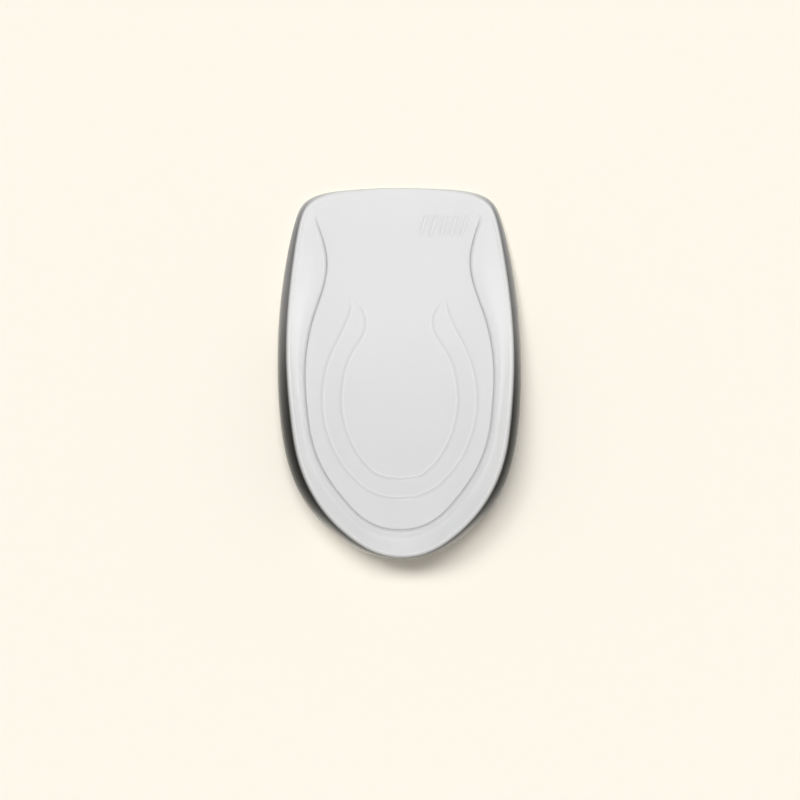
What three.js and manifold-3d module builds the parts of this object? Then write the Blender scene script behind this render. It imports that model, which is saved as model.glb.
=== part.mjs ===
// A heel cup for a shoe: one moulding of clear silicone gel, thin at its front edge, with a thick seat under
// the heel and a wall that rises round the sides and back. A crease bounds the seat, two fine lines draw a
// horseshoe in it, and a small hatch of raised bars stands near the front edge.
// Millimetres. +Z is up, +Y points to the toes, and the origin is under the middle of the flat underside.

import * as THREE from "three";
import { mergeVertices } from "three/addons/utils/BufferGeometryUtils.js";
import Module from "manifold-3d";

// Driving dimensions
const LENGTH = 104;
const WIDTH = 68.4;
const BACK_RIM_HEIGHT = 18;
const FRONT_EDGE_THICKNESS = 1.2;
const SEAT_THICKNESS = 4.7;
const SEAT_DISH = 0.8;
const RIM_THICKNESS = 1.3;
const RIM_LEAN = 3;
const BASE_TUCK = 3.2;
const CREASE_DEPTH = 0.3;
const CREASE_HALF_WIDTH = 0.25;
const LIP_HEIGHT = 0.45;
const LIP_WIDTH = 0.6;
const LINE_DEPTH = 0.22;
const LINE_HALF_WIDTH = 0.25;
const BAR_COUNT = 5;
const BAR_PITCH = 2.9;
const BAR_LENGTH = 6;
const BAR_WIDTH = 0.8;
const BAR_RELIEF = 0.28;
const BAR_ROOT = 0.5;

// The four tables that follow have one row for each rib, from the middle of the front edge round the right
// side to the middle of the back. along is the place from the front edge to the back, as a share of the
// length, and across the place from the middle line, as a share of half the width.

// The cup's widest outline. rise is the rim's height, from 0 at the front edge's thickness to 1 at the back
// rim's height. lean says how far the rim leans in and tuck how far the flat base is tucked in under the
// outline, as shares of RIM_LEAN and BASE_TUCK. foot is where the rib starts on the middle line.
const OUTLINE = [
  { along: 0.0, across: 0.0, rise: 0.0, lean: 0.09, tuck: 0.22, foot: 0.36 },
  { along: 0.0035, across: 0.325, rise: 0.0, lean: 0.1, tuck: 0.23, foot: 0.37 },
  { along: 0.0125, across: 0.585, rise: 0.008, lean: 0.14, tuck: 0.26, foot: 0.38 },
  { along: 0.0365, across: 0.76, rise: 0.03, lean: 0.28, tuck: 0.34, foot: 0.395 },
  { along: 0.085, across: 0.842, rise: 0.08, lean: 0.36, tuck: 0.48, foot: 0.41 },
  { along: 0.162, across: 0.902, rise: 0.17, lean: 0.5, tuck: 0.62, foot: 0.43 },
  { along: 0.261, across: 0.954, rise: 0.3, lean: 0.6, tuck: 0.75, foot: 0.455 },
  { along: 0.367, across: 0.988, rise: 0.445, lean: 0.65, tuck: 0.86, foot: 0.485 },
  { along: 0.481, across: 1.0, rise: 0.595, lean: 0.73, tuck: 0.95, foot: 0.52 },
  { along: 0.597, across: 0.988, rise: 0.735, lean: 0.865, tuck: 1.0, foot: 0.56 },
  { along: 0.707, across: 0.945, rise: 0.85, lean: 0.915, tuck: 1.0, foot: 0.595 },
  { along: 0.804, across: 0.852, rise: 0.93, lean: 0.99, tuck: 1.0, foot: 0.63 },
  { along: 0.889, across: 0.682, rise: 0.975, lean: 0.925, tuck: 1.0, foot: 0.66 },
  { along: 0.954, across: 0.458, rise: 0.993, lean: 0.775, tuck: 1.0, foot: 0.68 },
  { along: 0.99, across: 0.228, rise: 1.0, lean: 0.53, tuck: 1.0, foot: 0.695 },
  { along: 1.0, across: 0.0, rise: 1.0, lean: 0.42, tuck: 1.0, foot: 0.7 },
];

// The crease between the side walls and the seat. depth is its share of the full depth, and fades out at
// the crease's two front ends: in front of them the loop only closes the ring and doesn't show.
const CREASE = [
  { along: 0.05, across: 0.0, depth: 0 },
  { along: 0.051, across: 0.258, depth: 0 },
  { along: 0.054, across: 0.486, depth: 0 },
  { along: 0.069, across: 0.657, depth: 0 },
  { along: 0.107, across: 0.651, depth: 0.75 },
  { along: 0.185, across: 0.591, depth: 1 },
  { along: 0.271, across: 0.625, depth: 1 },
  { along: 0.367, across: 0.722, depth: 1 },
  { along: 0.481, across: 0.775, depth: 1 },
  { along: 0.587, across: 0.764, depth: 1 },
  { along: 0.682, across: 0.722, depth: 1 },
  { along: 0.768, across: 0.618, depth: 1 },
  { along: 0.837, across: 0.471, depth: 1 },
  { along: 0.889, across: 0.319, depth: 1 },
  { along: 0.917, across: 0.159, depth: 1 },
  { along: 0.924, across: 0.0, depth: 1 },
];

// The horseshoe's outer line, from its pointed front tip round the heel.
const OUTER_LINE = [
  { along: 0.262, across: 0.0, depth: 0 },
  { along: 0.263, across: 0.099, depth: 0 },
  { along: 0.266, across: 0.198, depth: 0 },
  { along: 0.271, across: 0.297, depth: 0 },
  { along: 0.279, across: 0.375, depth: 0 },
  { along: 0.291, across: 0.397, depth: 0.7 },
  { along: 0.329, across: 0.406, depth: 1 },
  { along: 0.39, across: 0.484, depth: 1 },
  { along: 0.468, across: 0.593, depth: 1 },
  { along: 0.559, across: 0.64, depth: 1 },
  { along: 0.646, across: 0.613, depth: 1 },
  { along: 0.728, across: 0.513, depth: 1 },
  { along: 0.791, across: 0.364, depth: 1 },
  { along: 0.822, across: 0.234, depth: 1 },
  { along: 0.836, across: 0.117, depth: 1 },
  { along: 0.839, across: 0.0, depth: 1 },
];

// The horseshoe's inner line, which runs to the same tip.
const INNER_LINE = [
  { along: 0.278, across: 0.0, depth: 0 },
  { along: 0.279, across: 0.094, depth: 0 },
  { along: 0.281, across: 0.188, depth: 0 },
  { along: 0.285, across: 0.278, depth: 0 },
  { along: 0.29, across: 0.347, depth: 0 },
  { along: 0.301, across: 0.369, depth: 0.7 },
  { along: 0.333, across: 0.297, depth: 1 },
  { along: 0.39, across: 0.295, depth: 1 },
  { along: 0.458, across: 0.416, depth: 1 },
  { along: 0.549, across: 0.48, depth: 1 },
  { along: 0.628, across: 0.463, depth: 1 },
  { along: 0.699, across: 0.385, depth: 1 },
  { along: 0.75, across: 0.278, depth: 1 },
  { along: 0.777, across: 0.176, depth: 1 },
  { along: 0.785, across: 0.085, depth: 1 },
  { along: 0.787, across: 0.0, depth: 1 },
];

// The wall's outside, from the flat base up to the rim: the shares of the tuck and of the lean there, and
// the height as a share of the rim's.
const OUTSIDE = [
  { tuck: 1.0, lean: 0.0, rise: 0.0 },
  { tuck: 0.5, lean: 0.0, rise: 0.035 },
  { tuck: 0.17, lean: 0.0, rise: 0.12 },
  { tuck: 0.0, lean: 0.0, rise: 0.29 },
  { tuck: 0.0, lean: 0.1, rise: 0.48 },
  { tuck: 0.0, lean: 0.34, rise: 0.68 },
  { tuck: 0.0, lean: 0.68, rise: 0.84 },
  { tuck: 0.0, lean: 1.0, rise: 0.94 },
];

// The rounded rim, inwards from its outer shoulder. inset is a share of the rim's thickness. The two drops
// are shares of half that thickness: the inner one counts only where the rim stands above the seat.
const RIM = [
  { inset: 0.2, outerDrop: 0.25, innerDrop: 0 },
  { inset: 0.5, outerDrop: 0, innerDrop: 0 },
  { inset: 0.8, outerDrop: 0, innerDrop: 0.25 },
  { inset: 1.0, outerDrop: 0, innerDrop: 1 },
];

// Where the seat reaches its full thickness, and its shallow dish: the dish's middle and half length along
// the cup, and its half width across it.
const THICK_FROM = 0.62;
const DISH = { along: 0.6, halfLength: 0.3, across: 0.62 };

// The hatch's middle, and the bars' turn in radians.
const HATCH = { along: 0.103, across: 0.372, turn: -0.3 };

// How finely the skin is divided: samples from rib to rib, and the extra rings of each zone, as shares of
// the way across it.
const SAMPLES_PER_RIB = 4;
const BASE_RINGS = [0.5];
const WALL_RINGS = [0.3, 0.55, 0.8];
const WALL_CURVE = 1.9;
const SEAT_RINGS = [0.3, 0.65];
const BAND_RINGS = [0.5];
const MIDDLE_RINGS = [0.4, 0.75];

const { clamp, lerp, smoothstep } = THREE.MathUtils;
const alongToY = (along) => LENGTH * (0.5 - along);
const acrossToX = (across) => (WIDTH / 2) * across;
const mirrored = (points) => points.map((p) => new THREE.Vector3(-p.x, p.y, p.z));

// A table's rows as one smooth closed loop, with the right half mirrored to the left.
function closedLoop(rows) {
  const right = rows.map((row) => new THREE.Vector3(acrossToX(row.across), alongToY(row.along), 0));
  const left = mirrored(right.slice(1, -1).reverse());
  return new THREE.CatmullRomCurve3([...right, ...left], true, "centripetal");
}

// One column of a table, smoothed from row to row.
function smoothColumn(rows, name, steps) {
  const curve = new THREE.SplineCurve(rows.map((row, i) => new THREE.Vector2(i, row[name])));
  return curve.getPoints(steps).map((p) => p.y);
}

// The right half of a table's loop: at each sample its place, its outward normal seen from above, and the
// table's other columns.
function sampleHalf(rows) {
  const steps = (rows.length - 1) * SAMPLES_PER_RIB;
  const loop = closedLoop(rows);
  const columns = Object.keys(rows[0]).map((name) => [name, smoothColumn(rows, name, steps)]);
  return Array.from({ length: steps + 1 }, (_, i) => {
    const sample = Object.fromEntries(columns.map(([name, values]) => [name, values[i]]));
    const place = loop.getPoint(i / (2 * steps));
    const tangent = loop.getTangent(i / (2 * steps));
    const onMiddleLine = i === 0 || i === steps;
    sample.x = onMiddleLine ? 0 : place.x;
    sample.y = place.y;
    sample.normal = new THREE.Vector2(onMiddleLine ? 0 : -tangent.y, tangent.x).normalize();
    return sample;
  });
}

// A sample's point moved inwards by an inset, at a height.
const inwards = (s, inset, z = 0) => new THREE.Vector3(s.x - s.normal.x * inset, s.y - s.normal.y * inset, z);

// The top of the seat: thin at the front, thick under the heel, with a shallow dish.
function seatHeight(x, y) {
  const along = 0.5 - y / LENGTH;
  const plain = lerp(FRONT_EDGE_THICKNESS, SEAT_THICKNESS, smoothstep(along, 0, THICK_FROM));
  const across = x / acrossToX(DISH.across);
  const down = (along - DISH.along) / DISH.halfLength;
  return plain - SEAT_DISH * smoothstep(1 - across * across - down * down, 0, 1);
}

// A point set on the seat, or a little above it.
const onSeat = (p, above = 0) => new THREE.Vector3(p.x, p.y, seatHeight(p.x, p.y) + above);

// The rings between two others, each at a share of the way from the first to the second.
const ringsBetween = (first, second, shares) =>
  shares.map((share) => first.map((p, i) => p.clone().lerp(second[i], share)));

const seatRings = (first, second, shares) =>
  ringsBetween(first, second, shares).map((ring) => ring.map((p) => onSeat(p)));

// The three rings of a groove in the seat: its outer edge, its bed and its inner edge.
function grooveRings(rows, halfWidth, fullDepth) {
  const line = sampleHalf(rows);
  return [
    line.map((s) => onSeat(inwards(s, -halfWidth))),
    line.map((s) => onSeat(inwards(s, 0), -fullDepth * clamp(s.depth, 0, 1))),
    line.map((s) => onSeat(inwards(s, halfWidth))),
  ];
}

// The outside rings from the base's edge to the rim's shoulder, and those over the rim.
function outerRings(outline) {
  const outside = OUTSIDE.map((row) =>
    outline.map((s) => {
      const inset = row.tuck * s.tuck * BASE_TUCK + row.lean * s.lean * RIM_LEAN;
      return inwards(s, inset, row.rise * s.height);
    }),
  );
  const rim = RIM.map((row) =>
    outline.map((s) => {
      const width = Math.min(RIM_THICKNESS, s.height);
      const p = inwards(s, s.lean * RIM_LEAN + row.inset * width);
      const stand = clamp((s.height - seatHeight(p.x, p.y)) / width, 0, 1);
      p.z = s.height - (width / 2) * (row.outerDrop + row.innerDrop * stand);
      return p;
    }),
  );
  return [...outside, ...rim];
}

// The inner wall, down from the rim to the lip of the crease. It's steepest at the rim.
function wallRings(shoulder, lip) {
  return [...WALL_RINGS].reverse().map((share) =>
    lip.map((foot, i) => {
      const p = foot.clone().lerp(shoulder[i], share);
      p.z = lerp(foot.z, shoulder[i].z, share ** WALL_CURVE);
      return p;
    }),
  );
}

// Every ring of the skin, right half only: from the middle of the underside out, up the outside, over the
// rim, down the inner wall and in across the seat to its middle.
function skinRings() {
  const heightOf = (rise) => lerp(FRONT_EDGE_THICKNESS, BACK_RIM_HEIGHT, rise);
  const outline = sampleHalf(OUTLINE).map((s) => ({ ...s, height: heightOf(s.rise) }));
  const feet = outline.map((s) => new THREE.Vector3(0, alongToY(s.foot), 0));
  const outer = outerRings(outline);

  const lipInset = -(CREASE_HALF_WIDTH + LIP_WIDTH);
  const lip = sampleHalf(CREASE).map((s) => onSeat(inwards(s, lipInset), LIP_HEIGHT * clamp(s.depth, 0, 1)));
  const [, creaseBed, seatEdge] = grooveRings(CREASE, CREASE_HALF_WIDTH, CREASE_DEPTH);
  const outerLine = grooveRings(OUTER_LINE, LINE_HALF_WIDTH, LINE_DEPTH);
  const innerLine = grooveRings(INNER_LINE, LINE_HALF_WIDTH, LINE_DEPTH);
  const middle = feet.map((p) => onSeat(p));

  return [
    feet,
    ...ringsBetween(feet, outer[0], BASE_RINGS),
    ...outer,
    ...wallRings(outer[outer.length - 1], lip),
    lip,
    creaseBed,
    seatEdge,
    ...seatRings(seatEdge, outerLine[0], SEAT_RINGS),
    ...outerLine,
    ...seatRings(outerLine[2], innerLine[0], BAND_RINGS),
    ...innerLine,
    ...seatRings(innerLine[2], middle, MIDDLE_RINGS),
    middle,
  ];
}

// The rings with their left halves, joined into one closed skin whose faces point out.
function skinGeometry(halfRings) {
  const rings = halfRings.map((half) => [...half, ...mirrored(half.slice(1, -1).reverse())]);
  const around = rings[0].length;
  const index = [];
  for (let ring = 0; ring < rings.length - 1; ring++) {
    for (let i = 0; i < around; i++) {
      const a = ring * around + i;
      const b = ring * around + ((i + 1) % around);
      index.push(a, a + around, b);
      index.push(b, a + around, b + around);
    }
  }
  const geometry = new THREE.BufferGeometry();
  const positions = rings.flat().flatMap((p) => [p.x, p.y, p.z]);
  geometry.setAttribute("position", new THREE.Float32BufferAttribute(positions, 3));
  geometry.setIndex(index);
  return geometry;
}

// One raised bar of the hatch, with round ends, standing on the seat and rooted in it.
function barGeometry(number) {
  const radius = BAR_WIDTH / 2;
  const straight = BAR_LENGTH / 2 - radius;
  const shape = new THREE.Shape();
  shape.absarc(0, straight, radius, 0, Math.PI);
  shape.absarc(0, -straight, radius, Math.PI, 2 * Math.PI);
  const depth = BAR_ROOT + BAR_RELIEF;
  const bar = new THREE.ExtrudeGeometry(shape, { depth, bevelEnabled: false, curveSegments: 6 });

  const x = acrossToX(HATCH.across) + (number - (BAR_COUNT - 1) / 2) * BAR_PITCH;
  const y = alongToY(HATCH.along);
  const fall = seatHeight(x, y + straight) - seatHeight(x, y - straight);
  bar.translate(0, 0, -BAR_ROOT);
  bar.rotateX(Math.atan(fall / (2 * straight)));
  bar.rotateZ(HATCH.turn);
  bar.translate(x, y, seatHeight(x, y));
  return bar;
}

const wasm = await Module();
wasm.setup();

// A closed geometry as a solid that others can be joined to.
function solidOf(geometry) {
  const bare = geometry.clone();
  bare.deleteAttribute("normal");
  bare.deleteAttribute("uv");
  const merged = mergeVertices(bare, 1e-4);
  const vertProperties = new Float32Array(merged.getAttribute("position").array);
  const triVerts = new Uint32Array(merged.index.array);
  return new wasm.Manifold(new wasm.Mesh({ numProp: 3, vertProperties, triVerts }));
}

function geometryOf(solid) {
  const mesh = solid.getMesh();
  const geometry = new THREE.BufferGeometry();
  geometry.setAttribute("position", new THREE.BufferAttribute(mesh.vertProperties, 3));
  geometry.setIndex(new THREE.BufferAttribute(mesh.triVerts, 1));
  geometry.computeVertexNormals();
  return geometry;
}

function cupGeometry() {
  let cup = solidOf(skinGeometry(skinRings()));
  for (let number = 0; number < BAR_COUNT; number++) {
    cup = cup.add(solidOf(barGeometry(number)));
  }
  return geometryOf(cup);
}

const gel = new THREE.MeshStandardMaterial({ color: 0xe2e2e2, roughness: 0.3, metalness: 0 });

const heelCup = new THREE.Mesh(cupGeometry(), gel);
heelCup.name = "heel_cup";

const part = new THREE.Group();
part.add(heelCup);

export default part;
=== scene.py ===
# A heel cup of clear silicone gel on a pale floor, seen nearly from above in soft light from the upper left.
# Metres. +Z is up, +Y points to the thin front edge, and the origin is under the middle of the cup.

import math

import bmesh
import bpy
import numpy as np
from mathutils import Matrix, Vector


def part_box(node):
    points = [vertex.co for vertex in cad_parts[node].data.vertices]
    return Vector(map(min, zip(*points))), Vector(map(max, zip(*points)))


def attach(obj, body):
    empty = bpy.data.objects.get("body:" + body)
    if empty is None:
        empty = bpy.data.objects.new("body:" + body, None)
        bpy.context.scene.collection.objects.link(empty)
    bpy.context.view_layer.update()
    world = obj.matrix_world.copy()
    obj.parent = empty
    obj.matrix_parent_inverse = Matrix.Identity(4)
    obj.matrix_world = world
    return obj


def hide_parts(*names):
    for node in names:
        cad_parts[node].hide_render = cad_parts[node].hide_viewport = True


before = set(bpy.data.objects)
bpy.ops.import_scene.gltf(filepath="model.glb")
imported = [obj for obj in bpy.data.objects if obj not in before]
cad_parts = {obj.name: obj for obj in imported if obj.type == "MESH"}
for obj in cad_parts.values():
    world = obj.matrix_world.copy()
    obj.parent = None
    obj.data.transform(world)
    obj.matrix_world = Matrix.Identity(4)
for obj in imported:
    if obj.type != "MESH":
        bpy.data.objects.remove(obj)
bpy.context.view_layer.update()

MM = 0.001

# Sizes of the cup. The overall ones come from the cup's part in model.glb.
NODE = "heel_cup"
LOW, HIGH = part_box(NODE)
LENGTH = HIGH.y - LOW.y
WIDTH = HIGH.x - LOW.x
BACK_RIM_HEIGHT = HIGH.z - LOW.z
FRONT_EDGE_THICKNESS = 1.2 * MM
SEAT_THICKNESS = 4.7 * MM
SEAT_DISH = 0.8 * MM
RIM_THICKNESS = 1.3 * MM
RIM_LEAN = 3 * MM
BASE_TUCK = 3.2 * MM
CREASE_DEPTH = 0.32 * MM
CREASE_HALF_WIDTH = 0.3 * MM
LIP_HEIGHT = 0.45 * MM
LIP_WIDTH = 0.6 * MM
LINE_DEPTH = 0.16 * MM
LINE_CREST = 0.07 * MM
LINE_HALF_WIDTH = 0.58 * MM
BAR_COUNT = 5
BAR_PITCH = 2.9 * MM
BAR_LENGTH = 6 * MM
BAR_WIDTH = 0.8 * MM
BAR_RELIEF = 0.28 * MM
BAR_SUNK = 0.15 * MM

# The tables have one row for each rib, from the middle of the front edge round the right side to the middle
# of the back. along is a share of the length from the front edge, and across a share of half the width.

# The widest outline. rise is the rim's height between the front edge's thickness and the back rim's height;
# lean and tuck are shares of RIM_LEAN and BASE_TUCK; foot is where the rib starts on the middle line; the
# last two columns are how dark the outer wall is painted under the rim and at its widest: painted shade
# that stands in for the dark refraction through the clear gel's steep wall.
OUTLINE_COLUMNS = "along across rise lean tuck foot smoke haze"
OUTLINE = [
    (0.0, 0.0, 0.0, 0.09, 0.22, 0.36, 0.05, 0.0),
    (0.0035, 0.325, 0.0, 0.1, 0.23, 0.37, 0.1, 0.0),
    (0.0125, 0.585, 0.008, 0.14, 0.26, 0.38, 0.25, 0.05),
    (0.0365, 0.76, 0.03, 0.28, 0.34, 0.395, 0.55, 0.1),
    (0.085, 0.842, 0.08, 0.36, 0.48, 0.41, 0.72, 0.15),
    (0.162, 0.902, 0.17, 0.5, 0.62, 0.43, 0.76, 0.2),
    (0.261, 0.954, 0.3, 0.6, 0.75, 0.455, 0.77, 0.25),
    (0.367, 0.988, 0.445, 0.65, 0.86, 0.485, 0.82, 0.35),
    (0.481, 1.0, 0.595, 0.73, 0.95, 0.52, 0.92, 0.55),
    (0.597, 0.988, 0.735, 0.865, 1.0, 0.56, 0.98, 0.67),
    (0.707, 0.945, 0.85, 0.915, 1.0, 0.595, 1.0, 0.75),
    (0.804, 0.852, 0.93, 0.99, 1.0, 0.63, 1.0, 0.77),
    (0.889, 0.682, 0.975, 0.925, 1.0, 0.66, 1.0, 0.38),
    (0.954, 0.458, 0.993, 0.775, 1.0, 0.68, 1.0, 0.06),
    (0.99, 0.228, 1.0, 0.53, 1.0, 0.695, 0.93, 0.05),
    (1.0, 0.0, 1.0, 0.42, 1.0, 0.7, 0.8, 0.03),
]

# The grooves' middle lines. depth fades them out at their front ends.
GROOVE_COLUMNS = "along across depth"
CREASE = [
    (0.05, 0.0, 0.0),
    (0.051, 0.258, 0.0),
    (0.054, 0.486, 0.0),
    (0.069, 0.657, 0.0),
    (0.107, 0.651, 0.75),
    (0.185, 0.591, 1.0),
    (0.271, 0.625, 1.0),
    (0.367, 0.722, 1.0),
    (0.481, 0.775, 1.0),
    (0.587, 0.764, 1.0),
    (0.682, 0.722, 1.0),
    (0.768, 0.618, 1.0),
    (0.837, 0.471, 1.0),
    (0.889, 0.319, 1.0),
    (0.917, 0.159, 1.0),
    (0.924, 0.0, 1.0),
]
OUTER_LINE = [
    (0.262, 0.0, 0.0),
    (0.263, 0.099, 0.0),
    (0.266, 0.198, 0.0),
    (0.271, 0.297, 0.0),
    (0.279, 0.375, 0.0),
    (0.291, 0.397, 0.2),
    (0.329, 0.406, 1.0),
    (0.39, 0.484, 1.0),
    (0.468, 0.593, 1.0),
    (0.559, 0.64, 1.0),
    (0.646, 0.613, 1.0),
    (0.728, 0.513, 1.0),
    (0.791, 0.364, 1.0),
    (0.822, 0.234, 1.0),
    (0.836, 0.117, 1.0),
    (0.839, 0.0, 1.0),
]
INNER_LINE = [
    (0.278, 0.0, 0.0),
    (0.279, 0.094, 0.0),
    (0.281, 0.188, 0.0),
    (0.285, 0.278, 0.0),
    (0.29, 0.347, 0.0),
    (0.301, 0.369, 0.2),
    (0.333, 0.297, 1.0),
    (0.39, 0.295, 1.0),
    (0.458, 0.416, 1.0),
    (0.549, 0.48, 1.0),
    (0.628, 0.463, 1.0),
    (0.699, 0.385, 1.0),
    (0.75, 0.278, 1.0),
    (0.777, 0.176, 1.0),
    (0.785, 0.085, 1.0),
    (0.787, 0.0, 1.0),
]

# Where the seat reaches its full thickness, and its dish: middle and half length along, half width across.
THICK_FROM = 0.62
DISH_ALONG = 0.6
DISH_HALF_LENGTH = 0.3
DISH_ACROSS = 0.62

# The seat's ribs end on the middle line, between SEAT_MIDDLE and the inner line's own place along.
SEAT_MIDDLE = 0.5
SEAT_FEET_SPREAD = 0.8

# The middle of the hatch, and how far its bars are turned.
HATCH_ALONG = 0.103
HATCH_ACROSS = 0.372
HATCH_TURN = -0.3

# The outer wall is widest at WAIST of the rim's height, and its rounded shoulder starts at SHOULDER.
WAIST = 0.29
SHOULDER = 0.94
LEAN_CURVE = 2.05
WALL_CURVE = 1.9

# The fine lines: how sharp the groove and its crest are, how far their rings reach to both sides, in half
# widths, and the share of the width that is left at a tip, reached between two depths.
GROOVE_SHARPNESS = 2.5
CREST_SHARPNESS = 4
GROOVE_REACH_OUT = 1.5
GROOVE_REACH_IN = 2.0
TIP_WIDTH = 0.22
TIP_DEPTHS = (0.6, 1.0)

# The mesh: its points round the cup, the rings of each part of the skin, and the points of a bar.
AROUND = 560
UNDERSIDE_RINGS = 8
FOOT_RINGS = 16
OUTER_WALL_RINGS = 29
RIM_RINGS = 14
INNER_WALL_RINGS = 23
CREASE_OUTER_RINGS = 11
CREASE_INNER_RINGS = 5
GROOVE_RINGS = 15
RINGS_TO_OUTER_LINE = 14
RINGS_TO_INNER_LINE = 3
RINGS_TO_MIDDLE = 12
BAR_POINTS = 48
BAR_RINGS = 8
MERGE_DISTANCE = 0.002 * MM

# The marks on the skin paint light and shade into the gel's colour: the outer wall's painted shade goes
# towards near black, wall towards the inner wall's lighter colours, which are painted light, and the line
# mark towards grey as painted shade, or towards white as painted light where it's below zero. A pair is
# where a change starts and ends along.

# The powers by which the outer wall's painted shade rises up it, at the front, along the middle of the sides
# and at the back, and by which it reaches in under the cup. Then the painted light at the back's widest part,
# and its width as a share of the height.
FADE_FRONT = 0.8
FADE_MIDDLE = 0.55
FADE_BACK = 1.5
FADE_TO_MIDDLE = (0.3, 0.6)
FADE_TO_BACK = (0.85, 0.93)
UNDERSIDE_FADE = 6
PAINTED_WAIST_LIGHT = 0.9
PAINTED_WAIST_LIGHT_SPREAD = 0.12

# The outer wall's painted shade ends on the rim's inner side, and the rim's painted shade at the rear and its
# painted light at the front are lines there. Their places are shares of the way over the rim.
RIM_EDGE_SHADE_END = 0.65
RIM_SHADE = 0.6
RIM_SHADE_PLACE = 0.6
RIM_SHADE_SHARPNESS = 25
RIM_LIGHT = 0.7
RIM_LIGHT_PLACE = 0.9
RIM_LIGHT_SHARPNESS = 50
RIM_TO_REAR = (0.35, 0.75)

# The rise from which the inner wall has its lighter colour, painted light on the steep wall, in full, and how
# many times faster than the wall that colour comes up at the front and at the rear.
FULL_WALL_RISE = 0.5
WALL_SPEED_FRONT = 1.6
WALL_SPEED_REAR = 2.4
WALL_SPEED_TO_REAR = (0.35, 0.65)

# The painted shade in the crease and the fine lines, and the painted light on the lines' crests.
CREASE_SHARPNESS = 2
LINE_PAINTED_SHADE = 0.19
CREST_LIGHT = 0.15


def smoothstep(x):
    x = np.clip(x, 0, 1)
    return x * x * (3 - 2 * x)


def ramp(x, start, end):
    """A smooth step from 0 at the start to 1 at the end."""
    return smoothstep((x - start) / (end - start))


def bell(x, sharpness=1):
    return math.exp(-(x**2) * sharpness)


def lerp(a, b, share):
    return a + (b - a) * share


def closed_spline(values, t):
    """The periodic cubic spline through values at t = 0, 1, 2 and so on."""
    n = len(values)
    links = 4 * np.eye(n) + np.roll(np.eye(n), 1, axis=1) + np.roll(np.eye(n), -1, axis=1)
    bend = np.linalg.solve(links, 6 * (np.roll(values, 1) - 2 * values + np.roll(values, -1)))
    low = np.floor(t).astype(int) % n
    high = (low + 1) % n
    b = t - np.floor(t)
    a = 1 - b
    return a * values[low] + b * values[high] + ((a**3 - a) * bend[low] + (b**3 - b) * bend[high]) / 6


class Loop:
    """A table's rows as a smooth closed loop, mirrored to the left: points, outward normals and columns."""

    def __init__(self, columns, rows):
        names = columns.split()
        table = dict(zip(names, np.array(rows).T))
        t = np.arange(AROUND) * (2 * (len(rows) - 1) / AROUND)
        for name in names:
            values = table[name]
            left = values[-2:0:-1] * (-1 if name == "across" else 1)
            setattr(self, name, closed_spline(np.concatenate([values, left]), t))
        self.x = self.across * WIDTH / 2
        self.y = LENGTH * (0.5 - self.along)
        tangent_x = np.roll(self.x, -1) - np.roll(self.x, 1)
        tangent_y = np.roll(self.y, -1) - np.roll(self.y, 1)
        size = np.hypot(tangent_x, tangent_y)
        self.normal_x = -tangent_y / size
        self.normal_y = tangent_x / size

    def inwards(self, inset, z=0.0):
        """The loop's points moved inwards by an inset, at the height z."""
        x = self.x - self.normal_x * inset
        y = self.y - self.normal_y * inset
        return np.stack([x, y, np.broadcast_to(z, x.shape)], axis=1)


def on_middle_line(along):
    """Points on the cup's middle line, one for each point of a loop."""
    y = LENGTH * (0.5 - along)
    return np.stack([np.zeros(AROUND), y, np.zeros(AROUND)], axis=1)


def seat_height(x, y):
    along = 0.5 - y / LENGTH
    plain = lerp(FRONT_EDGE_THICKNESS, SEAT_THICKNESS, smoothstep(along / THICK_FROM))
    across = x / (DISH_ACROSS * WIDTH / 2)
    down = (along - DISH_ALONG) / DISH_HALF_LENGTH
    return plain - SEAT_DISH * smoothstep(1 - across**2 - down**2)


def on_seat(points, above=0.0):
    """The points set on the seat's surface, or above it."""
    z = seat_height(points[:, 0], points[:, 1]) + above
    return np.stack([points[:, 0], points[:, 1], z], axis=1)


class Skin:
    """The rings of the cup's skin, with three marks of painted light and shade on each point: the outer
    wall's painted shade, the lines' painted shade and light, and wall, the inner wall's painted light.
    """

    def __init__(self):
        self.rings = []
        self.marks = {"smoke": [], "line": [], "wall": []}

    def add(self, ring, **marks):
        self.rings.append(ring)
        for name, values in self.marks.items():
            values.append(np.broadcast_to(marks.get(name, 0.0), AROUND))


def add_underside(skin, feet, outline):
    edge = outline.inwards(outline.tuck * BASE_TUCK)
    # The outer wall's painted shade reaches in under the cup's edge.
    for share in np.linspace(0, 1, UNDERSIDE_RINGS + 1)[:-1]:
        skin.add(lerp(feet, edge, share), smoke=outline.haze * share**UNDERSIDE_FADE)


def add_outer_wall(skin, outline, height):
    """From the base's edge up to the shoulder: a rounded foot, then a wall that leans in. Its painted shade,
    which stands in for dark refraction, reaches furthest down along the middle of the sides. At the back it
    stays near the rim, and the widest part gets painted light."""
    middle = ramp(outline.along, *FADE_TO_MIDDLE)
    back = ramp(outline.along, *FADE_TO_BACK)
    fade = lerp(lerp(FADE_FRONT, FADE_MIDDLE, middle), FADE_BACK, back)
    foot = (1 - np.cos(np.linspace(0, math.pi / 2, FOOT_RINGS + 1)[:-1])) * WAIST
    wall = np.linspace(WAIST, SHOULDER, OUTER_WALL_RINGS)
    for rise in np.concatenate([foot, wall]):
        below_waist = max(0.0, 1 - rise / WAIST)
        above_waist = max(0.0, (rise - WAIST) / (SHOULDER - WAIST))
        tuck = 1 - math.sqrt(1 - below_waist**2)
        inset = outline.tuck * BASE_TUCK * tuck + outline.lean * RIM_LEAN * above_waist**LEAN_CURVE
        smoke = lerp(outline.haze, outline.smoke, above_waist**fade)
        # Painted light on the widest part of the outer wall at the back.
        light = PAINTED_WAIST_LIGHT * back * bell((rise - WAIST) / PAINTED_WAIST_LIGHT_SPREAD)
        skin.add(outline.inwards(inset, rise * height), smoke=smoke, line=-light)


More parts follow.
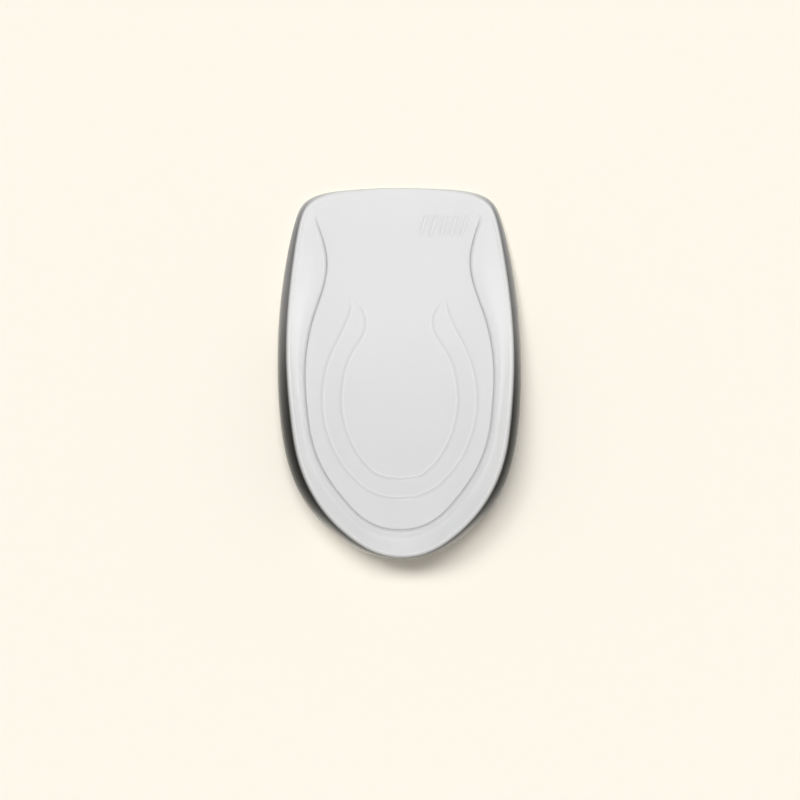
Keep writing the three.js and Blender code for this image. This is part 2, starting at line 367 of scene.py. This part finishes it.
def add_rim(skin, outline, height):
    """Half an ellipse over the rim, from the outer shoulder. Its inner side sinks only where it's a wall.
    It's a little greyer there at the rear, with painted shade, and lighter at its foot in the front half,
    with painted light."""
    rear = ramp(outline.along, *RIM_TO_REAR)
    width = np.minimum(RIM_THICKNESS, height)
    for over in np.linspace(0, 1, RIM_RINGS + 1)[1:]:
        angle = over * math.pi
        ring = outline.inwards(outline.lean * RIM_LEAN + width * (1 - math.cos(angle)) / 2)
        stand = np.clip((height - seat_height(ring[:, 0], ring[:, 1])) / width, 0, 1)
        drop = (1 - SHOULDER) * height if angle < math.pi / 2 else stand * width / 2
        ring[:, 2] = height - drop * (1 - math.sin(angle))
        smoke = outline.smoke * (1 - smoothstep(over / RIM_EDGE_SHADE_END))
        # Painted shade on the rim at the rear, and painted light at its foot in the front half.
        shade = RIM_SHADE * rear * bell(over - RIM_SHADE_PLACE, RIM_SHADE_SHARPNESS)
        light = RIM_LIGHT * outline.wall * (1 - rear) * bell(over - RIM_LIGHT_PLACE, RIM_LIGHT_SHARPNESS)
        wall = outline.wall * ramp(over, 0.5, 1)
        skin.add(ring, smoke=smoke, line=shade - light, wall=wall)


def add_inner_wall(skin, outline, lip):
    """From the rim down to the crease's lip. Its lighter colour, painted light on the steep wall, starts
    lower down at the rear, as it's steep.
    """
    shoulder = skin.rings[-1]
    speed = lerp(WALL_SPEED_FRONT, WALL_SPEED_REAR, ramp(outline.along, *WALL_SPEED_TO_REAR))
    for share in np.linspace(1, 0, INNER_WALL_RINGS + 2)[1:-1]:
        ring = lerp(lip, shoulder, share)
        ring[:, 2] = lerp(lip[:, 2], shoulder[:, 2], share**WALL_CURVE)
        skin.add(ring, wall=outline.wall * smoothstep(share * speed))


def add_crease(skin, crease, depth):
    """The step from the wall's lip down into the crease, and up its short inner side to the seat. The crease
    is darkened with painted shade.
    """
    outer = CREASE_HALF_WIDTH + LIP_WIDTH
    down = np.linspace(-outer, 0, CREASE_OUTER_RINGS)
    up = np.linspace(0, CREASE_HALF_WIDTH, CREASE_INNER_RINGS + 1)[1:]
    for inset in np.concatenate([down, up]):
        if inset > 0:
            above = -CREASE_DEPTH * (1 - smoothstep(inset / CREASE_HALF_WIDTH))
        else:
            above = lerp(LIP_HEIGHT, -CREASE_DEPTH, smoothstep(1 + inset / outer))
        # Painted shade along the crease.
        dark = bell(inset / CREASE_HALF_WIDTH, CREASE_SHARPNESS)
        skin.add(on_seat(crease.inwards(inset), depth * above), line=depth * dark)


def groove_width(depth):
    """Half a groove's width, which narrows where the groove fades out at a tip."""
    return LINE_HALF_WIDTH * lerp(TIP_WIDTH, 1, ramp(depth, *TIP_DEPTHS))


def add_groove(skin, loop, depth):
    """A fine groove, darkened with painted shade, with a low crest along its inner side that has painted
    light.
    """
    for inset in np.linspace(-GROOVE_REACH_OUT, GROOVE_REACH_IN, GROOVE_RINGS):
        groove = bell(inset, GROOVE_SHARPNESS)
        crest = bell(inset - 1, CREST_SHARPNESS)
        above = depth * (LINE_CREST * crest - LINE_DEPTH * groove)
        # The groove is darkened with painted shade, and its crest lightened with painted light.
        mark = depth * (LINE_PAINTED_SHADE * groove - CREST_LIGHT * crest)
        skin.add(on_seat(loop.inwards(inset * groove_width(depth)), above), line=mark)


def add_seat(skin, inner_ring, count):
    """Plain rings of seat from the last ring to the next one, both left out."""
    outer_ring = skin.rings[-1]
    for share in np.linspace(0, 1, count + 2)[1:-1]:
        skin.add(on_seat(lerp(outer_ring, inner_ring, share)))


def cup_skin():
    outline = Loop(OUTLINE_COLUMNS, OUTLINE)
    crease = Loop(GROOVE_COLUMNS, CREASE)
    outer_line = Loop(GROOVE_COLUMNS, OUTER_LINE)
    inner_line = Loop(GROOVE_COLUMNS, INNER_LINE)
    height = lerp(FRONT_EDGE_THICKNESS, BACK_RIM_HEIGHT, np.clip(outline.rise, 0, 1))
    outline.wall = smoothstep(outline.rise / FULL_WALL_RISE)
    crease_depth = np.clip(crease.depth, 0, 1)

    skin = Skin()
    add_underside(skin, on_middle_line(outline.foot), outline)
    add_outer_wall(skin, outline, height)
    add_rim(skin, outline, height)
    lip = on_seat(crease.inwards(-CREASE_HALF_WIDTH - LIP_WIDTH), LIP_HEIGHT * crease_depth)
    add_inner_wall(skin, outline, lip)
    add_crease(skin, crease, crease_depth)
    for loop, count in ((outer_line, RINGS_TO_OUTER_LINE), (inner_line, RINGS_TO_INNER_LINE)):
        depth = np.clip(loop.depth, 0, 1)
        add_seat(skin, loop.inwards(-GROOVE_REACH_OUT * groove_width(depth)), count)
        add_groove(skin, loop, depth)
    seat_feet = on_middle_line(lerp(SEAT_MIDDLE, inner_line.along, SEAT_FEET_SPREAD))
    add_seat(skin, seat_feet, RINGS_TO_MIDDLE)
    skin.add(on_seat(seat_feet))
    return skin


def link_piece(name, mesh):
    """Shades a mesh smooth and links it to the scene as an object of the same name."""
    for polygon in mesh.polygons:
        polygon.use_smooth = True
    piece = bpy.data.objects.new(name, mesh)
    bpy.context.scene.collection.objects.link(piece)
    return piece


def make_cup():
    """The skin's rings joined with quads into one closed mesh, with the marks as point attributes. The points
    of the first and last rings, which lie on the middle line from both sides, are joined."""
    skin = cup_skin()
    points = np.concatenate(skin.rings)
    ring = np.arange(len(skin.rings) - 1)[:, None] * AROUND
    step = np.arange(AROUND)[None, :]
    a = ring + step
    b = ring + (step + 1) % AROUND
    quads = np.stack([a, a + AROUND, b + AROUND, b], axis=2).reshape(-1, 4)
    mesh = bpy.data.meshes.new("gel_cup")
    mesh.from_pydata(points.tolist(), [], quads.tolist())
    for mark, values in skin.marks.items():
        attribute = mesh.attributes.new(mark, "FLOAT", "POINT")
        attribute.data.foreach_set("value", np.concatenate(values).astype(np.float32))

    work = bmesh.new()
    work.from_mesh(mesh)
    bmesh.ops.remove_doubles(work, verts=work.verts, dist=MERGE_DISTANCE)
    bmesh.ops.dissolve_degenerate(work, edges=work.edges, dist=MERGE_DISTANCE)
    work.to_mesh(mesh)
    work.free()
    return link_piece("gel_cup", mesh)


def bar_dome(middle):
    """A raised bar with round ends, as rings from its sunk foot up to its spine."""
    cos, sin = math.cos(HATCH_TURN), math.sin(HATCH_TURN)
    turn = np.array([[cos, -sin], [sin, cos]])
    straight = (BAR_LENGTH - BAR_WIDTH) / 2
    angle = np.linspace(0, 2 * math.pi, BAR_POINTS, endpoint=False)
    end = np.where(np.sin(angle) >= 0, straight, -straight)
    rings = []
    for lift in np.linspace(0, math.pi / 2, BAR_RINGS):
        radius = BAR_WIDTH / 2 * math.cos(lift)
        flat = np.stack([radius * np.cos(angle), radius * np.sin(angle) + end], axis=1) @ turn.T + middle
        above = (BAR_RELIEF + BAR_SUNK) * math.sin(lift) - BAR_SUNK
        rings.append(on_seat(flat, above))
    return rings


def make_hatch():
    """The row of slanted raised bars near the front edge."""
    work = bmesh.new()
    for number in range(BAR_COUNT):
        middle_x = HATCH_ACROSS * WIDTH / 2 + (number - (BAR_COUNT - 1) / 2) * BAR_PITCH
        rings = bar_dome(np.array([middle_x, LENGTH * (0.5 - HATCH_ALONG)]))
        rows = [[work.verts.new(point) for point in ring] for ring in rings]
        for lower, upper in zip(rows, rows[1:]):
            for a, b, c, d in zip(lower, lower[1:] + lower[:1], upper[1:] + upper[:1], upper):
                work.faces.new((a, b, c, d))
        work.faces.new(rows[0][::-1])
    bmesh.ops.remove_doubles(work, verts=work.verts, dist=MERGE_DISTANCE)
    mesh = bpy.data.meshes.new("hatch")
    work.to_mesh(mesh)
    work.free()
    return link_piece("hatch", mesh)


class Nodes:
    """Short ways to add and link nodes of a tree."""

    # The colour sockets of the Mix node: factor and both colours, and the result.
    MIX_INPUTS = (0, 6, 7)
    MIX_OUTPUT = 2

    def __init__(self, tree):
        self.tree = tree
        tree.nodes.clear()

    def feed(self, socket, value):
        """Links another node's socket, or sets a plain value."""
        if isinstance(value, bpy.types.NodeSocket):
            self.tree.links.new(value, socket)
        else:
            socket.default_value = value

    def add(self, kind, inputs=None, **settings):
        node = self.tree.nodes.new(kind)
        for name, value in settings.items():
            setattr(node, name, value)
        for name, value in (inputs or {}).items():
            self.feed(node.inputs[name], value)
        return node

    def mix(self, factor, first, second):
        node = self.add("ShaderNodeMix", data_type="RGBA")
        for index, value in zip(self.MIX_INPUTS, (factor, first, second)):
            self.feed(node.inputs[index], value)
        return node.outputs[self.MIX_OUTPUT]

    def blend(self, value, reach, size, kind="SMOOTHSTEP"):
        """0 to 1 while the value goes from the start to the end of a reach, given in shares of the size."""
        start, end = reach
        inputs = {"Value": value, "From Min": start * size, "From Max": end * size}
        return self.add("ShaderNodeMapRange", inputs, interpolation_type=kind).outputs["Result"]

    def math(self, operation, *values):
        node = self.add("ShaderNodeMath", operation=operation)
        for index, value in enumerate(values):
            self.feed(node.inputs[index], value)
        return node.outputs[0]

    def mark(self, name):
        """A mark on the skin. It's zero on a piece that hasn't got it."""
        return self.add("ShaderNodeAttribute", attribute_name=name).outputs["Fac"]


# The gel's colours: the seat from front to rear, darker at the rear with painted shade, its thin front edge,
# the inner wall, lighter with painted light, and the colours of the marks' painted shade and light.
GEL_FRONT = (0.83, 0.83, 0.83, 1)
GEL_REAR_PAINTED_SHADE = (0.665, 0.665, 0.667, 1)
GEL_EDGE = (0.95, 0.95, 0.952, 1)
PAINTED_LIT_WALL_FRONT = (0.875, 0.876, 0.878, 1)
PAINTED_LIT_WALL_MIDDLE = (0.98, 0.982, 0.985, 1)
PAINTED_LIT_WALL_REAR = (0.838, 0.842, 0.852, 1)
PAINTED_EDGE_SHADE_COLOUR = (0.003, 0.003, 0.003, 1)
PAINTED_LINE_SHADE_COLOUR = (0.5, 0.5, 0.5, 1)
PAINTED_LIGHT_COLOUR = (1, 1, 1, 1)

# Where the colours change: shares of the length in Y, and for the sides shares of the width in X.
REAR_REACH = (0.5, -0.4)
EDGE_REACH = (0.33, 0.5)
WALL_MIDDLE_REACH = (0.25, -0.08)
WALL_REAR_REACH = (-0.15, -0.38)
SIDE_REACH = (0.12, 0.36)
# How deep the seat's painted side shade gets at the rear, and how much lighter the thin front edge gets.
SIDE_PAINTED_SHADE = 0.35
EDGE_LIGHT = 0.3

# The gel's surface and its fine grain. Where the outer wall has painted shade, a share of the specular level
# is taken away.
GRAIN_SCALE = 1300.0
GRAIN_DETAIL = 3.0
GRAIN_COLOUR = 0.12
GRAIN_ROUGHNESS = 0.08
GRAIN_BUMP = 0.06
GRAIN_HEIGHT = 0.1 * MM
ROUGHNESS = 0.16
SPECULAR = 0.5
EDGE_SHADE_DULLING = 0.45
GEL_IOR = 1.41
SCATTER = 0.5
SCATTER_RADIUS = 3 * MM


def gel_material(name, marked):
    """Milky clear gel with a fine grain: darker at the seat's rear and sides, which is painted shade, and
    lighter along the thin front edge. The marks paint shade up the outer wall and in the lines, and light on
    the inner wall and the crests. A marked piece loses some specular level where its outer wall has painted
    shade, and light scatters in it."""
    material = bpy.data.materials.new(name)
    material.use_nodes = True
    nodes = Nodes(material.node_tree)
    place = nodes.add("ShaderNodeTexCoord").outputs["Object"]
    split = nodes.add("ShaderNodeSeparateXYZ", {"Vector": place}).outputs
    noise = {"Vector": place, "Scale": GRAIN_SCALE, "Detail": GRAIN_DETAIL}
    grain = nodes.add("ShaderNodeTexNoise", noise).outputs["Fac"]
    speck = nodes.math("MULTIPLY", nodes.math("SUBTRACT", grain, 0.5), GRAIN_COLOUR)

    # Painted shade: the seat gets darker towards its rear, and towards its sides at the rear.
    rear = nodes.blend(split["Y"], REAR_REACH, LENGTH, "LINEAR")
    side = nodes.blend(nodes.math("ABSOLUTE", split["X"]), SIDE_REACH, WIDTH)
    painted_side_shade = nodes.math("MULTIPLY", nodes.math("MULTIPLY", side, rear), SIDE_PAINTED_SHADE)
    painted_shade_and_speck = nodes.math("ADD", nodes.math("ADD", rear, painted_side_shade), speck)
    milk = nodes.mix(painted_shade_and_speck, GEL_FRONT, GEL_REAR_PAINTED_SHADE)
    edge = nodes.math("MULTIPLY", nodes.blend(split["Y"], EDGE_REACH, LENGTH), EDGE_LIGHT)
    seat = nodes.mix(edge, milk, GEL_EDGE)

    # The inner wall's lighter colours are painted light that stands in for light on its steep slope.
    painted_lit_side_wall = nodes.mix(nodes.blend(split["Y"], WALL_MIDDLE_REACH, LENGTH), PAINTED_LIT_WALL_FRONT, PAINTED_LIT_WALL_MIDDLE)
    wall_rear = nodes.math("ADD", nodes.blend(split["Y"], WALL_REAR_REACH, LENGTH), speck)
    painted_lit_wall = nodes.mix(wall_rear, painted_lit_side_wall, PAINTED_LIT_WALL_REAR)

    # The marks paint shade and light into the colour: shade on the outer wall and in the lines, light on the
    # inner wall and the crests.
    smoke = nodes.mark("smoke")
    line = nodes.mark("line")
    walled = nodes.mix(nodes.mark("wall"), seat, painted_lit_wall)
    crested = nodes.mix(nodes.math("MULTIPLY", line, -1), walled, PAINTED_LIGHT_COLOUR)
    lined = nodes.mix(line, crested, PAINTED_LINE_SHADE_COLOUR)
    colour = nodes.mix(smoke, lined, PAINTED_EDGE_SHADE_COLOUR)

    dulling = nodes.math("MULTIPLY", smoke, EDGE_SHADE_DULLING)
    relief = {"Height": grain, "Strength": GRAIN_BUMP, "Distance": GRAIN_HEIGHT}
    gel = nodes.add(
        "ShaderNodeBsdfPrincipled",
        {
            "Base Color": colour,
            "Roughness": nodes.math("ADD", nodes.math("MULTIPLY", grain, GRAIN_ROUGHNESS), ROUGHNESS),
            "Specular IOR Level": nodes.math("SUBTRACT", SPECULAR, dulling) if marked else SPECULAR,
            "Normal": nodes.add("ShaderNodeBump", relief).outputs["Normal"],
            "IOR": GEL_IOR,
            "Subsurface Weight": SCATTER if marked else 0.0,
            "Subsurface Radius": (SCATTER_RADIUS, SCATTER_RADIUS, SCATTER_RADIUS),
            "Subsurface Scale": 1.0,
        },
    )
    nodes.add("ShaderNodeOutputMaterial", {"Surface": gel.outputs["BSDF"]})
    return material


FLOOR_COLOUR = (0.95, 0.90, 0.80, 1)
FLOOR_HALF = 30.0
FLOOR_BELOW = 0.02 * MM


def floor_material():
    material = bpy.data.materials.new("floor")
    material.use_nodes = True
    nodes = Nodes(material.node_tree)
    paint = nodes.add("ShaderNodeBsdfDiffuse", {"Color": FLOOR_COLOUR})
    nodes.add("ShaderNodeOutputMaterial", {"Surface": paint.outputs["BSDF"]})
    return material


def make_floor():
    mesh = bpy.data.meshes.new("floor")
    corners = [(-FLOOR_HALF, -FLOOR_HALF, 0), (FLOOR_HALF, -FLOOR_HALF, 0)]
    corners += [(FLOOR_HALF, FLOOR_HALF, 0), (-FLOOR_HALF, FLOOR_HALF, 0)]
    mesh.from_pydata(corners, [], [(0, 1, 2, 3)])
    mesh.materials.append(floor_material())
    floor = bpy.data.objects.new("floor", mesh)
    floor.location.z = -FLOOR_BELOW
    bpy.context.scene.collection.objects.link(floor)
    return floor


# The world's grey light from above, and its colour down at the horizon, which it leaves over HORIZON_TOP.
AMBIENT = 0.31
ZENITH = (AMBIENT, AMBIENT, AMBIENT, 1)
HORIZON = (0.97, 0.92, 0.82, 1)
HORIZON_TOP = 0.2


def make_world():
    world = bpy.data.worlds.new("studio")
    bpy.context.scene.world = world
    world.use_nodes = True
    nodes = Nodes(world.node_tree)
    direction = nodes.add("ShaderNodeTexCoord").outputs["Generated"]
    height = nodes.add("ShaderNodeSeparateXYZ", {"Vector": direction}).outputs["Z"]
    share = nodes.add("ShaderNodeMapRange", {"Value": height, "From Max": HORIZON_TOP}).outputs["Result"]
    sky = nodes.add("ShaderNodeBackground", {"Color": nodes.mix(share, HORIZON, ZENITH)})
    nodes.add("ShaderNodeOutputWorld", {"Surface": sky.outputs["Background"]})


# The key throws the cup's shadow on the floor. It's a row of five soft lamps side by side, like one wide
# panel: their offsets for each unit of height, the angular size of each, and their strength together.
KEY_LEFT = (0.58, 0.4, 0.22, 0.05, -0.11)
KEY_FRONT = 0.4
KEY_SIZE = math.radians(14)
KEY_STRENGTH = 2.58

# The panels face the origin. The near one hangs over the cup and lights its top. The far one stands beyond
# the front edge, and only shows as a soft highlight on the cup.
NEAR_PANEL = {"place": (0.003, 0.02, 0.25), "size": (0.16, 0.16), "power": 0.51}
FAR_PANEL = {"place": (0.0, 0.43, 0.6), "size": (0.18, 0.1), "power": 0.8}


def link_lamp(light, towards, pieces):
    """Links a lamp that shines from the direction towards, and lights these pieces alone."""
    lamp = bpy.data.objects.new(light.name, light)
    lamp.rotation_euler = Vector(towards).to_track_quat("Z", "Y").to_euler()
    bpy.context.scene.collection.objects.link(lamp)
    lit = bpy.data.collections.new(f"{light.name}_lit")
    for piece in pieces:
        lit.objects.link(piece)
    lamp.light_linking.receiver_collection = lit
    return lamp


def make_key(floor):
    for number, left in enumerate(KEY_LEFT):
        light = bpy.data.lights.new(f"key_{number}", "SUN")
        light.energy = KEY_STRENGTH / len(KEY_LEFT)
        light.angle = KEY_SIZE
        link_lamp(light, (-left, KEY_FRONT, 1), [floor]).visible_glossy = False


def make_panel(name, pieces, place, size, power):
    light = bpy.data.lights.new(name, "AREA")
    light.shape = "RECTANGLE"
    light.size, light.size_y = size
    light.energy = power
    lamp = link_lamp(light, place, pieces)
    lamp.location = place
    lamp.visible_camera = False
    return lamp


# The camera looks down from a little to the front and left, and is rolled a little. The frame is 800 pixels
# square, and the cup's middle lies at PIXEL_MIDDLE in it.
FRAME_PIXELS = 800
PIXEL_SIZE = 0.28146 * MM
PIXEL_MIDDLE = (398.9, 372.3)
TILT_TO_FRONT = math.radians(4.8)
TILT_TO_LEFT = math.radians(2.2)
ROLL = 0.0055
CAMERA_DISTANCE = 2.0
SENSOR = 36.0
CLIP_START = 0.01
CLIP_END = 100


def make_camera():
    data = bpy.data.cameras.new("camera")
    data.sensor_width = SENSOR
    data.lens = SENSOR * CAMERA_DISTANCE / (FRAME_PIXELS * PIXEL_SIZE)
    data.clip_start = CLIP_START
    data.clip_end = CLIP_END
    camera = bpy.data.objects.new("camera", data)
    bpy.context.scene.collection.objects.link(camera)
    bpy.context.scene.camera = camera

    back = Vector((-math.tan(TILT_TO_LEFT), math.tan(TILT_TO_FRONT), 1)).normalized()
    up = Vector((ROLL, 1, 0))
    up = (up - up.dot(back) * back).normalized()
    right = up.cross(back)
    off_x = (FRAME_PIXELS / 2 - PIXEL_MIDDLE[0]) * PIXEL_SIZE
    off_y = (PIXEL_MIDDLE[1] - FRAME_PIXELS / 2) * PIXEL_SIZE
    aim = right * off_x + up * off_y
    turn = Matrix((right, up, back)).transposed().to_4x4()
    camera.matrix_world = Matrix.Translation(aim + back * CAMERA_DISTANCE) @ turn


make_camera()
cup = make_cup()
hatch = make_hatch()
for piece, marked in ((cup, True), (hatch, False)):
    piece.data.materials.append(gel_material(f"gel_{piece.name}", marked))
    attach(piece, "root")
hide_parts(NODE)

floor = make_floor()
make_world()
make_key(floor)
make_panel("near_panel", [cup, hatch], **NEAR_PANEL).visible_glossy = False
make_panel("far_panel", [cup], **FAR_PANEL).visible_diffuse = False

scene = bpy.context.scene
scene.view_settings.view_transform = "Standard"
scene.cycles.use_denoising = True
